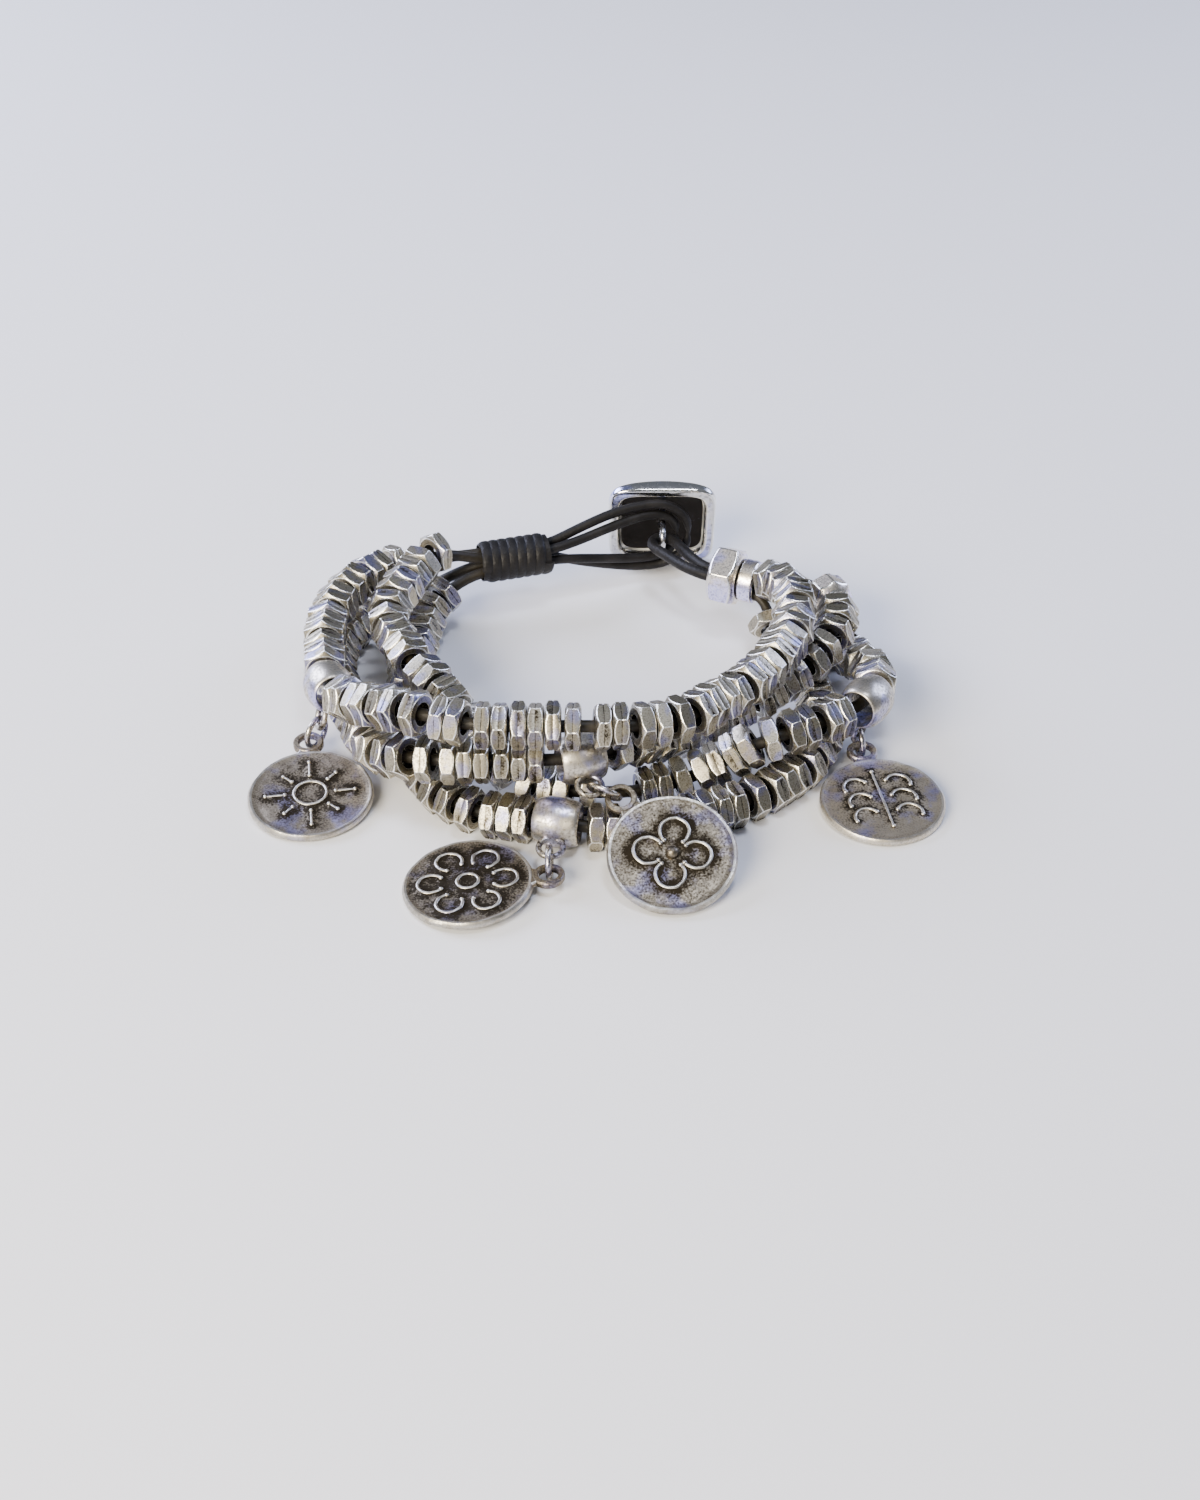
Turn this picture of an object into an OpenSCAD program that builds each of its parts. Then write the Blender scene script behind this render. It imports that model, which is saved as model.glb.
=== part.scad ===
// Bracelet of four strands of hexagonal nut beads on leather cord, with a charm on each strand
// and a loop-and-button clasp. It lies on a surface in an open oval, the clasp at the back.
// X runs to the right, Y to the back, Z up. All sizes are in millimetres.

/* [Nut beads] */
// Width of a nut across its flats
nut_flats = 5.5; // [5.2:0.1:5.5]
// Thickness of a nut
nut_t = 2.1; // [2:0.1:2.3]
// Diameter of the hole through a nut
nut_hole = 3.2; // [3:0.1:3.4]
// Diameter of the flat ring left on each face inside the chamfer
nut_face = 5.1; // [4.8:0.1:5.4]
// Space between two nuts of a stack
nut_gap = 0.12; // [0.12:0.02:0.3]
// Usual number of nuts in a stack, where they lie face to face
nut_group = 3; // [2:1:5]
// Largest sideways sway of a stack, in degrees
nut_sway = 2; // [0:1:3]
// Largest shift of a nut off the line of its stack
nut_shift = 0.12; // [0:0.02:0.16]

/* [Leather] */
// Diameter of the leather cord
cord_d = 1.7; // [1.4:0.1:1.7]
// Outer diameter of the binding round the four cords
binding_d = 6.4; // [6.2:0.1:6.6]
// Length of the binding
binding_l = 11; // [10:1:12]
// Number of turns in the binding
binding_turns = 7; // [5:1:9]

/* [Barrel beads] */
// Largest diameter of a barrel bead
barrel_d = 6.9; // [6.4:0.1:7]
// Length of a barrel bead
barrel_l = 6.1; // [5.5:0.1:6.4]
// Diameter of the hole through a barrel bead
barrel_hole = 4.4; // [3:0.1:4.4]

/* [Charms] */
// Diameter of a charm's disc
charm_d = 16.8; // [16:0.1:17]
// Thickness of a charm's disc
charm_t = 0.9; // [0.8:0.1:1.3]
// Diameter of the raised wire relief
relief_d = 0.8; // [0.6:0.1:1]
// Wire of the jump rings and of the barrel beads' eyes
wire_d = 0.8; // [0.7:0.05:0.8]
// Diameter of a jump ring, measured at the middle of its wire
ring_d = 4.2; // [4.1:0.1:4.3]

/* [Clasp] */
// Side of the square button
button_w = 16.5; // [14:0.5:17]
// Thickness of the button's plate
button_t = 1.4; // [1:0.1:1.6]
// Width of the end bead across its flats
end_bead_flats = 8; // [7:0.1:8.2]
// Length of the end bead
end_bead_l = 4.4; // [4:0.1:5]
// Outer diameter of the ring bead
ring_bead_d = 6.4; // [6.2:0.1:7]
// Length of the ring bead
ring_bead_l = 2.5; // [2.4:0.1:3]

/* [Hidden] */
$fn = 48;

silver = "#b5afa6";
bright_silver = "#d2d3d6";
leather = "#1b1a1a";

nut_corner = nut_flats / cos(30) / 2;
nut_pitch = nut_t + nut_gap;
// Most that a strand turns along one stack, in radians
stack_turn = 0.24;
// Height of a strand's centre line where its nuts lie on the surface
low = nut_flats / 2;

// Where the middle of the whole bracelet's box stands before it is moved to the origin
box_middle = [-0.5, 6.9, 0];

// Stations of each strand's centre line, from inside the binding round to inside the end bead
strand_1 = [
    // x, y, z
    [-14, 38.1, 9.5], [-19.2, 36.7, 9.5], [-25, 37, 8.6], [-30.5, 35, 8.8], [-34.5, 31, 9.3],
    [-37.5, 25.5, 9.5], [-39, 19, 9.5], [-38.9, 12.5, 9.5], [-38.3, 7, 9.4], [-37.2, 1.8, 9.5],
    [-34, -4, 11.5], [-29.3, -9.3, 14], [-24, -13, 15.7], [-18, -15.8, 16], [-12.5, -16.5, 16],
    [-6.5, -16.5, 16], [-0.5, -16.5, 16], [5, -16, 15.7], [10.5, -14, 15.3], [14.5, -10.5, 15],
    [18.5, -6.5, 14.8], [22, -2, 14.7], [24.6, 2.7, 14.8], [26.3, 7.3, 14.6], [27.3, 12.5, 14],
    [27.7, 17.5, 13.3], [27.3, 22.3, 12.4], [25.7, 26.3, 11.2], [23.7, 28.3, 10], [20.5, 29.6, 10],
    [18, 30.7, 10]
];
strand_2 = [
    // x, y, z
    [-14, 38.1, 7.4], [-19.4, 36.6, 7.6], [-25, 36.2, 4.5], [-31, 33.5, low], [-35.5, 28.5, low],
    [-38, 22.5, low], [-38.3, 16, low], [-36.6, 10, low], [-34.3, 4, low], [-32.5, -1.5, 3.8],
    [-31, -6.3, 5.7], [-28.4, -10.5, 7.2], [-24.5, -13.8, 8.9], [-19, -15, 9.4], [-13.5, -15, 9.5],
    [-8, -15, 9.5], [-2.5, -14.7, 9.5], [2.5, -12, 9.4], [6.5, -8.3, 7.9], [11, -4.5, 5.7],
    [16, 0, 5.2], [21, 3, 5.9], [25.5, 5.7, 7.5], [30, 9.4, 9.1], [32.9, 14, 9.8], [34.2, 19.5, 10],
    [33.5, 24.8, 9.6], [31.2, 28.3, 9.3], [27.8, 30.5, 9.5], [24.3, 30.3, 10.1], [21.3, 31.4, 10],
    [18.8, 32.5, 10]
];
strand_3 = [
    // x, y, z
    [-13.4, 36.3, 9.5], [-18.6, 34.8, 9.7], [-24, 32.7, 12.3], [-27.5, 27.5, 11.5], [-30, 22, 10.5],
    [-30, 16.5, 10], [-28, 11.5, 10], [-26, 6.5, 10], [-23, 2.5, 9.5], [-19, -2.5, 8],
    [-15, -7.5, 5], [-10.5, -11, 3], [-5, -12.8, low], [0, -13.2, low], [5, -13, low],
    [10, -11.5, 3], [14, -10.5, 4.2], [17.5, -9.8, 6], [20.5, -9.5, 8], [24, -9, 9],
    [28, -7.5, 9.5], [32.2, -5, 9.5], [36.2, -1.6, 9.4], [38, 3.8, 8.3], [38.4, 9.2, 6.8],
    [37.6, 14.3, 4.9], [35.5, 19, 3.4], [33.6, 23.7, low], [31.5, 28, low], [28.5, 30.3, 4.2],
    [26, 30.3, 7.5], [24.4, 29.9, 8.3], [21.3, 31.4, 8], [18.8, 32.5, 8]
];
strand_4 = [
    // x, y, z
    [-13.4, 36.3, 7.4], [-18.6, 34.9, 7.3], [-23, 32.8, 5.4], [-25.7, 29, 3.7], [-26.5, 24, low],
    [-27.3, 18.5, low], [-27.5, 12, low], [-27.3, 6, low], [-26.7, 0, low], [-25.2, -5.5, low],
    [-23, -10.5, low], [-20, -14.7, low], [-16, -17.5, low], [-11, -19, low],
    [-5.5, -20.5, 3.5], [0, -21, low], [5, -20.5, low], [9.5, -19.2, low], [14, -17.6, low],
    [18.5, -15.5, low], [22.5, -12.8, low], [25.8, -9.8, low], [28.7, -6, low], [30.4, -1.5, low],
    [31, 3.5, low], [30.5, 9, low], [29.5, 14.5, low], [27.8, 19, 3], [25.6, 23, 3.7],
    [24.8, 25.7, 4.8], [24.8, 27.4, 7], [23.7, 28.4, 8], [20.5, 29.6, 8], [18, 30.7, 8]
];

// Runs of nuts on each strand, from one station's number to another's
runs_1 = [
    // from, to
    [2.86, 8.4], [9.7, 12.4], [12.45, 15.7], [15.95, 24.3], [24.62, 27.8]
];
runs_2 = [
    // from, to
    [2.9, 11.4], [11.5, 15.25], [16.72, 23.7], [23.85, 25.4]
];
runs_3 = [
    // from, to
    [1.9, 4.5], [4.7, 7.1], [7.3, 13], [14, 18.2], [18.33, 21.3], [22.8, 28.2]
];
runs_4 = [
    // from, to
    [1.9, 11.6], [11.53, 13.5], [14.7, 19.72], [19.8, 29.3]
];

// Station of the barrel bead on each strand, and of the faceted bead on strand 2
barrel_stations = [9, 16, 22, 14];
faceted_station = 26;

// Points between two stations on the smooth line through them
fine = 8;

function near(p, i) = p[max(0, min(len(p) - 1, i))];

function between(a, b, c, d, t) =
    (2 * b + (c - a) * t + (2 * a - 5 * b + 4 * c - d) * t * t
    + (3 * b - a - 3 * c + d) * t * t * t) / 2;

function smooth(p) = [
    for (i = [0 : len(p) - 2], k = [0 : fine - 1])
        between(near(p, i - 1), p[i], p[i + 1], near(p, i + 2), k / fine),
    p[len(p) - 1]
];

function step_length(q, i) = i + 1 < len(q) ? norm(q[i + 1] - q[i]) : 0;

// Distance along a line of points, one value a point
function along(q) = [for (s = 0, i = 0; i < len(q); s = s + step_length(q, i), i = i + 1) s];

// A route is its distances with x, with y and with z, then the distance at each station
function route(p) =
    let (q = smooth(p), s = along(q), n = len(q) - 1)
    [
        [for (i = [0 : n]) [s[i], q[i].x]],
        [for (i = [0 : n]) [s[i], q[i].y]],
        [for (i = [0 : n]) [s[i], max(low, q[i].z)]],
        [for (i = [0 : len(p) - 1]) [i, s[i * fine]]]
    ];

function spot(r, s) = [lookup(s, r[0]), lookup(s, r[1]), lookup(s, r[2])];

function reach(r, station) = lookup(station, r[3]);

function heading(r, s) =
    let (d = spot(r, s + 0.8) - spot(r, s - 0.8))
    d / norm(d);

function unit(v) = v / norm(v);

function square_to(v, axis) = unit(v - (v * axis) * axis);

// A repeatable value from -1 to 1 for nut or stack i of a strand
function chance(seed, i) = rands(-1, 1, 4, seed * 100 + i)[3];

// Way in which n nuts lie face to face from s, with a little sway
function stack_way(r, s, n, seed, i) =
    let (chord = unit(spot(r, s + n * nut_pitch) - spot(r, s)))
    unit(chord + tan(nut_sway) * chance(seed + 40, i) * unit(cross([0, 0, 1], chord)));

// Number of nuts, n at most, that fit before the route has turned too far for a straight stack
function stack_size(r, s, n) =
    n < 2 || norm(heading(r, s + n * nut_pitch) - heading(r, s)) < stack_turn ? n
    : stack_size(r, s, n - 1);

// Stacks of nuts between two distances, each with where it starts, its nuts, its way and number
function stacks(r, s, end_s, seed, i = 0) =
    let (
        left = floor((end_s - s + nut_gap) / nut_pitch),
        n = stack_size(r, s, max(1, min(left, nut_group + round(1.4 * chance(seed, i))))),
        next_s = s + n * nut_pitch,
        way = stack_way(r, s, n, seed, i),
        next_way = stack_way(r, next_s + 0.5, stack_size(r, next_s + 0.5, nut_group), seed, i + 1),
        wedge = 0.6 * nut_face * norm(next_way - way) + 0.15 * (1 + chance(seed + 20, i))
    )
    left < 1 ? [] : concat([[s, n, way, i]], stacks(r, next_s + wedge, end_s, seed, i + 1));

route_1 = route(strand_1);
route_2 = route(strand_2);
route_3 = route(strand_3);
route_4 = route(strand_4);

routes = [route_1, route_2, route_3, route_4];
all_runs = [runs_1, runs_2, runs_3, runs_4];

// Diameter of a barrel bead's eye at the middle of its wire, and how far it stands off the axis
eye_d = 3.2;
eye_reach = barrel_d / 2 + 1.1;
// Hole in a charm's eye, the width round it, and how far it stands off the disc's middle
charm_hole = 2.6;
charm_eye_w = 0.8;
charm_reach = charm_d / 2 + 1.9;
// Middle of the relief wire above the middle of the disc, and the ball on its ends
relief_z = charm_t / 2 - 0.05;
ball_d = relief_d * 1.25;

// Way in which each barrel bead's eye points
eye_ways = [[-0.27, -0.27, -0.92], [0.26, -0.93, -0.28], [-0.14, -0.04, -0.99], [-0.18, -0.97, -0.15]];

// Middle of each charm's disc, the way it faces, and the way from its middle to its eye
charm_places = [[-38.8, -12.1, 1.4], [9.2, -27.65, 3.95], [37.8, -13, 1.05], [-16.8, -30.1, 1.1]];
charm_faces = [[0, -0.11, 1], [0, -0.4, 0.92], [0, -0.065, 1], [-0.07, 0, 1]];
charm_ways = [[-0.13, 0.99, 0.09], [-0.63, 0.71, 0.31], [-0.17, 0.98, 0.06], [1, 0.06, 0.07]];

// How far off the middle of the bead's eye and of the charm's each jump ring pulls, and the
// side of them to which it bows out
ring_pulls = [[0.2, -0.2], [-0.05, 0.4], [0.1, -0.2], [0.5, 0.05]];
ring_bows = [[0.32, 0.63, -0.7], [0.03, 0.66, -0.75], [-0.15, 0.9, -0.41], [-0.06, -0.16, 0.99]];

// Axis of the two beads that gather the cords, from its right-hand end
gather_start = [23.4, 29.4, 9];
gather_way = [-2.5, 1.1, 0];
gather_hole = 5.4;

// Axis of the binding, from its left-hand end
binding_start = [-18.3, 35.8, 8.5];
binding_way = [5, 1.5, 0];
binding_hole = 5.3;

// Cords of the clasp loop, from inside the binding round the shank and back
loop_cord_d = 1.5;
outer_loop = [
    // x, y, z
    [-12.8, 38.3, 9.4], [-8, 39.8, 9.6], [-3, 41.4, 11.4], [2, 43, 13], [6.5, 44.1, 13.7],
    [10.4, 44.6, 13.6], [13.3, 45, 11], [13.6, 45.1, 8], [12.9, 45, 5.2], [10, 44.7, 3.2],
    [6, 44.1, 3], [1.5, 42.9, 4], [-3.5, 41.2, 5.7], [-8, 39.8, 7.4], [-12.8, 38.3, 7.6]
];
inner_loop = [
    // x, y, z
    [-12.3, 36.7, 9.4], [-7.5, 38.2, 9.4], [-3, 40, 10.1], [2, 42, 11.3], [6.5, 43.7, 12.1],
    [9.5, 44.4, 12], [11.5, 45, 10.4], [11.9, 45.1, 8.1], [11.3, 45, 6], [9.3, 44.5, 4.8],
    [6, 43.7, 4.7], [1.5, 42, 5.6], [-3.5, 39.8, 6.9], [-7.5, 38.2, 7.6], [-12.3, 36.7, 7.6]
];

// Cord that holds the button, out of the end bead, round the shank and back
button_line = [
    // x, y, z
    [17.8, 32.8, 9], [16, 33.7, 9], [14.4, 36, 8.8], [13, 39, 8.5], [11.8, 41.8, 8.3],
    [10.8, 43.5, 8.2], [9.6, 44.1, 8.2], [8.4, 43.5, 8.2], [7.9, 42, 8.2], [8.6, 40.2, 8.3],
    [10.4, 37.6, 8.5], [12.6, 34.4, 8.8], [15.1, 32, 9], [17, 31, 9]
];

// Middle of the button's rim, how far it leans in at the top, and its shank
button_at = [9.6, 47.6, 7.85];
button_lean = 18;
button_round = 3;
button_rim = 1.4;
button_dome = 26;
button_rise = 3.6;
shank_d = 3.2;
shank_wire = 1;
shank_up = 1.6;
shank_reach = 5;

// Place, heading and eye's way of the barrel bead on strand n
function barrel_place(n) = spot(routes[n - 1], reach(routes[n - 1], barrel_stations[n - 1]));

function barrel_heading(n) = heading(routes[n - 1], reach(routes[n - 1], barrel_stations[n - 1]));

function barrel_eye_way(n) = square_to(eye_ways[n - 1], barrel_heading(n));

function charm_eye_way(n) = square_to(charm_ways[n - 1], unit(charm_faces[n - 1]));

// Where jump ring n passes through the two eyes
function ring_top(n) = barrel_place(n) + (eye_reach + ring_pulls[n - 1][0]) * barrel_eye_way(n);

function ring_foot(n) =
    charm_places[n - 1] + (charm_reach + ring_pulls[n - 1][1]) * charm_eye_way(n);

// Puts a child at a point, its Z axis along z and its X axis as near to x as it can be
module set_in(p, z, x) {
    c = unit(z);
    a = square_to(x, c);
    b = cross(c, a);
    multmatrix([
        [a.x, b.x, c.x, p.x], [a.y, b.y, c.y, p.y], [a.z, b.z, c.z, p.z], [0, 0, 0, 1]
    ]) children();
}

module nut() {
    drop = (nut_corner + 0.1 - nut_face / 2) * tan(30);
    h = nut_t / 2;
    intersection() {
        cylinder(r = nut_corner, h = nut_t, center = true, $fn = 6);
        rotate_extrude()
            polygon([
                [nut_hole / 2, -h], [nut_face / 2, -h], [nut_corner + 0.1, drop - h],
                [nut_corner + 0.1, h - drop], [nut_face / 2, h], [nut_hole / 2, h]
            ]);
    }
}

// A stack of nuts, each rolled and shifted a little, but flat down where it lies on the surface
module nut_stack(r, stack, seed) {
    l = stack[1] * nut_pitch;
    chord_middle = (spot(r, stack[0]) + spot(r, stack[0] + l)) / 2;
    line_middle = (chord_middle + spot(r, stack[0] + l / 2)) / 2;
    way = stack[2];
    loose = max(0, min(1, (line_middle.z - low - 0.3) / 2));
    sag = max(0, chord_middle.z - line_middle.z) + nut_t / 2 * abs(way.z);
    middle = line_middle + [0, 0, (1 - loose) * sag];
    side = unit(cross([0, 0, 1], way));
    over = cross(way, side);
    for (k = [0 : stack[1] - 1]) {
        i = 10 * stack[3] + k;
        shift = nut_shift * (chance(seed + 60, i) * side + loose * chance(seed + 80, i) * over);
        roll = loose * (26 * chance(seed + 10, stack[3]) + 13 * chance(seed + 30, i));
        set_in(middle + (k - (stack[1] - 1) / 2) * nut_pitch * way + shift, way, [0, 0, -1])
            rotate([0, 0, 30 + roll]) nut();
    }
}

module nuts(r, runs, seed) {
    for (run = runs)
        for (stack = stacks(r, reach(r, run[0]), reach(r, run[1]), seed))
            nut_stack(r, stack, seed);
}

// Corners of a ring of points round a route
function ring_at(r, s, d, sides) =
    let (z = heading(r, s), x = unit(cross([0, 0, 1], z)), y = cross(z, x))
    [for (k = [0 : sides - 1])
        spot(r, s) + d / 2 * (x * cos(360 * k / sides) + y * sin(360 * k / sides))];

// A tube along a route, made as one skin
module tube(r, d, rings, sides = 8) {
    end_s = r[3][len(r[3]) - 1][1];
    points = [
        for (i = [0 : rings - 1])
            each ring_at(r, end_s * i / (rings - 1), d, sides)
    ];
    walls = [
        for (i = [0 : rings - 2], k = [0 : sides - 1])
            let (a = i * sides + k, b = i * sides + (k + 1) % sides)
            each [[a, a + sides, b + sides], [a, b + sides, b]]
    ];
    first = [for (k = [0 : sides - 1]) k];
    last = [for (k = [sides - 1 : -1 : 0]) (rings - 1) * sides + k];
    polyhedron(points, concat(walls, [first], [last]));
}

module barrel_bead(n) {
    h = barrel_l / 2;
    waist = 0.45;
    arc_r = (h * h + waist * waist) / waist / 2;
    color(bright_silver) set_in(barrel_place(n), barrel_heading(n), barrel_eye_way(n)) union() {
        rotate_extrude() intersection() {
            translate([barrel_d / 2 - arc_r, 0]) circle(r = arc_r, $fn = 96);
            translate([barrel_hole / 2, -h]) square([barrel_d, barrel_l]);
        }
        translate([eye_reach, 0, 0]) rotate([90, 0, 0])
            rotate_extrude() translate([eye_d / 2, 0]) circle(d = wire_d, $fn = 24);
    }
}

// A jump ring through two eyes, bowed out to one side of them
module jump_ring(n) {
    a = ring_top(n);
    b = ring_foot(n);
    way = unit(b - a);
    out = square_to(ring_bows[n - 1], way);
    half = norm(b - a) / 2;
    rise = sqrt(max(0, ring_d * ring_d / 4 - half * half));
    color(silver) set_in((a + b) / 2 + rise * out, cross(way, out), way)
        rotate_extrude() translate([ring_d / 2, 0]) circle(d = wire_d, $fn = 24);
}

// Blank of a charm, its face at Z = charm_t / 2 and its eye on the X axis
module charm_blank() {
    h = charm_t / 2;
    difference() {
        union() {
            rotate_extrude() polygon([
                [0, -h], [charm_d / 2 - 0.3, -h], [charm_d / 2, 0.3 - h],
                [charm_d / 2, h - 0.1], [charm_d / 2 - 0.2, h + 0.1], [charm_d / 2 - 0.7, h + 0.1],
                [charm_d / 2 - 1, h - 0.1], [0, h - 0.1]
            ]);
            translate([charm_d / 2 - 0.8, -1.3, -0.5]) cube([1.4, 2.6, 1]);
            translate([charm_reach, 0, -0.5]) cylinder(d = charm_hole + 2 * charm_eye_w, h = 1);
        }
        translate([charm_reach, 0, -2]) cylinder(d = charm_hole, h = 4);
    }
}

// Raised wire round part of a circle, a small ball on each end
module wire_arc(x, y, r, start, turn) {
    translate([x, y, relief_z]) rotate([0, 0, start]) {
        rotate_extrude(angle = turn) translate([r, 0]) circle(d = relief_d, $fn = 24);
        for (end = [0, turn])
            rotate([0, 0, end]) translate([r, 0, 0]) sphere(d = ball_d, $fn = 24);
    }
}

// Raised straight wire from one radius to another
module wire_ray(r0, r1, turn) {
    translate([0, 0, relief_z]) rotate([0, 0, turn]) {
        translate([r0, 0, 0]) rotate([0, 90, 0]) cylinder(d = relief_d, h = r1 - r0, $fn = 24);
        for (r = [r0, r1])
            translate([r, 0, 0]) sphere(d = ball_d, $fn = 24);
    }
}

// Sun: a ring and rays of two lengths
module sun() {
    translate([0, 0, relief_z])
        rotate_extrude() translate([2.2, 0]) circle(d = relief_d, $fn = 24);
    for (k = [0 : 7])
        wire_ray(3.4, k % 2 == 0 ? 6 : 5, 45 * k);
}

// Four open loops that face each other
module quatrefoil() {
    for (k = [0 : 3])
        rotate([0, 0, 90 * k + 45]) wire_arc(3.1, 0, 1.9, -140, 280);
    translate([0, 0, relief_z]) sphere(r = 0.9, $fn = 32);
}

// Sprig: a stem with pairs of curved leaves
module sprig() {
    wire_ray(-5.6, 5.4, 180);
    for (k = [-1 : 1], side = [-1, 1])
        wire_arc(3 * k - 0.2, side * 2.9, 1.7, side > 0 ? -60 : -110, 170);
}

// Flower of six petals round a small ring
module rosette() {
    for (k = [0 : 5])
        rotate([0, 0, 60 * k]) wire_arc(4.7, 0, 1.7, -140, 280);
    translate([0, 0, relief_z])
        rotate_extrude() translate([1.4, 0]) circle(d = relief_d, $fn = 24);
}

module charm(n) {
    color(silver) set_in(charm_places[n - 1], charm_faces[n - 1], charm_ways[n - 1]) union() {
        charm_blank();
        children();
    }
}

// Straight bead with chamfered ends
module gather_bead(d, l, hole, sides, chamfer) {
    face = d / 2 * cos(180 / sides) - chamfer;
    edge = d / 2 + 0.1;
    intersection() {
        cylinder(d = d, h = l, $fn = sides);
        rotate_extrude() polygon([
            [hole / 2, 0], [face, 0], [edge, chamfer * 1.2],
            [edge, l - chamfer * 1.2], [face, l], [hole / 2, l]
        ]);
    }
}

module ring_bead() {
    color(bright_silver) set_in(gather_start, gather_way, [0, 0, 1])
        gather_bead(ring_bead_d, ring_bead_l, gather_hole, 48, 0.4);
}

module end_bead() {
    at = gather_start + (ring_bead_l + 0.15) * unit(gather_way);
    color(bright_silver) set_in(at, gather_way, [0, 0, 1])
        gather_bead(end_bead_flats / cos(30), end_bead_l, gather_hole, 6, 0.7);
}

module faceted_bead() {
    s = reach(route_2, faceted_station);
    l = 4.6;
    color(bright_silver)
        set_in(spot(route_2, s) - l / 2 * heading(route_2, s), heading(route_2, s), [0, 0, 1])
            gather_bead(6.2, l, 3.2, 8, 0.9);
}

// A sleeve whose outside is ribbed by the turns of its leather
module binding() {
    turn_l = binding_l / binding_turns;
    color(leather) set_in(binding_start, binding_way, [0, 0, 1]) rotate_extrude() union() {
        translate([binding_hole / 2, 0]) square([0.3, binding_l]);
        for (k = [0 : binding_turns - 1])
            translate([binding_d / 2 - 0.45, (k + 0.5) * turn_l])
                intersection() {
                    circle(r = turn_l / 2 + 0.12, $fn = 32);
                    translate([-0.2, -turn_l / 2 - 0.1]) square([0.65, turn_l + 0.2]);
                }
    }
}

module clasp_loop(line) {
    color(leather) tube(route(line), loop_cord_d, 30);
}

// Square with rounded corners, centred
module cushion(w, r) {
    square([w - 2 * r, w], center = true);
    square([w, w - 2 * r], center = true);
    for (x = [-1, 1], y = [-1, 1])
        translate([x * (w / 2 - r), y * (w / 2 - r)]) circle(r = r);
}

// The hollow, domed button, its rim at Z = 0 and its shank below
module button() {
    color(bright_silver) translate(button_at) rotate([button_lean - 90, 0, 0]) union() {
        difference() {
            intersection() {
                linear_extrude(button_rise + 1) cushion(button_w, button_round);
                translate([0, 0, button_rise - button_dome]) sphere(r = button_dome, $fn = 96);
            }
            intersection() {
                translate([0, 0, -1]) linear_extrude(button_rise + 1)
                    cushion(button_w - 2 * button_rim, button_round - button_rim / 2);
                translate([0, 0, button_rise - button_t - button_dome])
                    sphere(r = button_dome, $fn = 96);
            }
        }
        translate([0, -shank_up, shank_d / 2 - shank_reach]) {
            rotate([0, 90, 0]) rotate_extrude(angle = 180)
                translate([shank_d / 2, 0]) circle(d = shank_wire, $fn = 24);
            for (side = [-1, 1])
                translate([0, side * shank_d / 2, 0])
                    cylinder(d = shank_wire, h = shank_reach + 0.8, $fn = 24);
        }
    }
}

module placed() {
    translate(-box_middle) children();
}

for (n = [1 : 4]) {
    placed() color(silver) nuts(routes[n - 1], all_runs[n - 1], n);
    placed() color(leather) tube(routes[n - 1], cord_d, 40);
    placed() barrel_bead(n);
    placed() jump_ring(n);
}

placed() charm(1) sun();  // charm_1
placed() charm(2) quatrefoil();  // charm_2
placed() charm(3) sprig();  // charm_3
placed() charm(4) rosette();  // charm_4

placed() faceted_bead();
placed() ring_bead();
placed() end_bead();
placed() binding();
placed() clasp_loop(inner_loop);  // clasp_loop_inner
placed() clasp_loop(outer_loop);  // clasp_loop_outer
placed() color(leather) tube(route(button_line), cord_d, 26);  // button_cord
placed() button();
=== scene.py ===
import math
import random

import bmesh
import bpy
import numpy as np
from mathutils import Matrix, Vector, kdtree, noise


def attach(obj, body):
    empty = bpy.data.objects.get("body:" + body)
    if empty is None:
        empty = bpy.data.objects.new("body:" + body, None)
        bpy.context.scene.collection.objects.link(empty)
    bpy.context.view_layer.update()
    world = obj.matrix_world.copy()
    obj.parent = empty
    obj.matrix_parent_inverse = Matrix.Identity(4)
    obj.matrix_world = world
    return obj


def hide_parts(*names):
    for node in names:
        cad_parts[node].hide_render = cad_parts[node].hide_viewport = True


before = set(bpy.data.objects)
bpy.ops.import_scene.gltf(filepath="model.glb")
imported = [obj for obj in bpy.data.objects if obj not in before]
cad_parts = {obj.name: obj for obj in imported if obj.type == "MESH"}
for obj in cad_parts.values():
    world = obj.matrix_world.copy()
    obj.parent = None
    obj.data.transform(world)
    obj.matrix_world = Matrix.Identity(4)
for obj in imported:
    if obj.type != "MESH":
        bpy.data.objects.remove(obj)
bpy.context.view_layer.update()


# The leather cords that the strands are strung on: thin round cords, waxed dark olive brown.
# They show in the gaps between the beads and where they run into the binding and the last bead.

def take_only(*pieces):
    """Selects these pieces and nothing else, the last one active."""
    bpy.ops.object.select_all(action="DESELECT")
    for piece in pieces:
        piece.select_set(True)
        bpy.context.view_layer.objects.active = piece


def apply_all(piece):
    """Applies every modifier of a piece in turn."""
    take_only(piece)
    for modifier in list(piece.modifiers):
        bpy.ops.object.modifier_apply(modifier=modifier.name)


def wear(piece, material):
    """Gives a piece this material and no other."""
    piece.data.materials.clear()
    piece.data.materials.append(material)


mm = 0.001
cord_swell = 0.06 * mm
merge_gap = 0.001 * mm


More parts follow.
